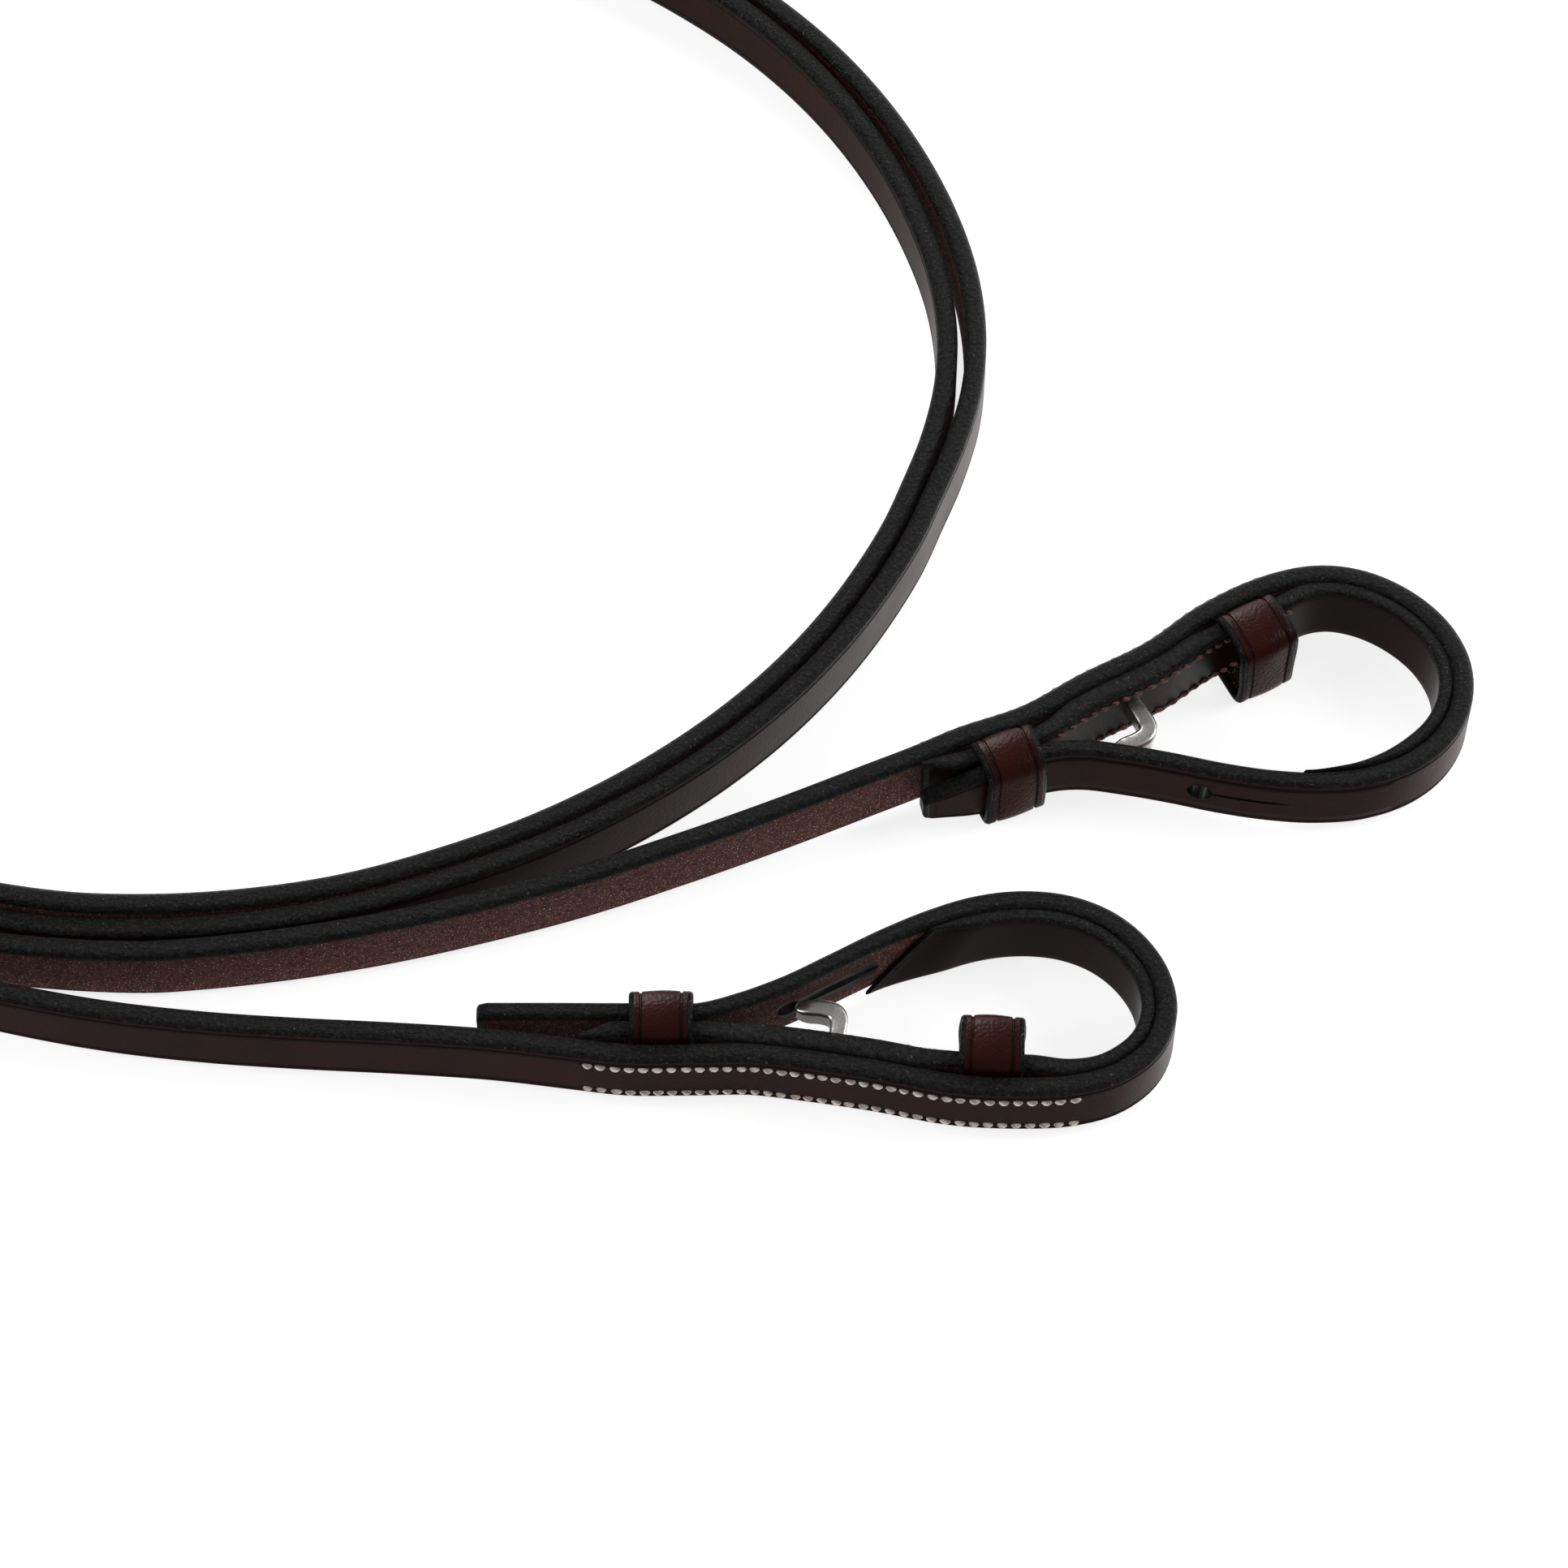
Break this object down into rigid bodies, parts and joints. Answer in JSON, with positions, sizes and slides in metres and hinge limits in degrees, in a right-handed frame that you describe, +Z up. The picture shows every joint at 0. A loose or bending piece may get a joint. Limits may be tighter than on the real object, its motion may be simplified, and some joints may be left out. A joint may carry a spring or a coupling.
{
  "type": "leather reins",
  "caption": "Brown leather bridle reins with hook-stud billets, keepers and a centre buckle, laid on edge and coiled",
  "frame": {"origin": "The middle of the bottom face of rein B's body keeper, on the surface the reins lie on.", "axes": "+Z is up, across the straps' width as they stand on edge. +X runs along rein B from its coil towards its bit loop. +Y points from rein B to rein A, into the coil."},
  "size_m": [0.4308, 0.307, 0.0226],
  "materials": {
    "rein_leather": "dark brown bridle leather, waxed grain face",
    "keeper_leather": "glossy red-brown leather with creased edges",
    "bright_steel": "bright stainless steel",
    "cream_thread": "waxed cream linen thread",
    "rust_thread": "waxed rust-brown linen thread"
  },
  "bodies": {
    "reins": {"rein_strap_a": "rein_leather", "chape_lining_a": "rein_leather", "hook_stud_a": "bright_steel", "body_keeper_a": "keeper_leather", "loop_keeper_a": "keeper_leather", "outer_stitching_a": "cream_thread", "inner_stitching_a": "rust_thread", "rein_strap_b": "rein_leather", "chape_lining_b": "rein_leather", "hook_stud_b": "bright_steel", "body_keeper_b": "keeper_leather", "loop_keeper_b": "keeper_leather", "outer_stitching_b": "cream_thread", "inner_stitching_b": "rust_thread", "buckle_chape": "rein_leather", "centre_keeper": "keeper_leather", "chape_stitching": "cream_thread"},
    "buckle": {"buckle_frame": "bright_steel"},
    "tongue": {"buckle_tongue": "bright_steel"},
    "runner": {"runner_keeper": "keeper_leather"}
  },
  "joints": [
    {"name": "buckle_swing", "type": "hinge", "parent": "reins", "child": "buckle", "pos_m": [-0.22348, 0.18344, 0.0113], "axis": [0, 0, 1], "range_deg": [-60, 15]},
    {"name": "tongue_swing", "type": "hinge", "parent": "buckle", "child": "tongue", "pos_m": [-0.22348, 0.18344, 0.0113], "axis": [0, 0, 1], "range_deg": [0, 85]},
    {"name": "runner_slide", "type": "slide", "parent": "reins", "child": "runner", "axis": [-0.1702, 0.9854, 0], "range_m": [-0.012, 0.012]}
  ]
}
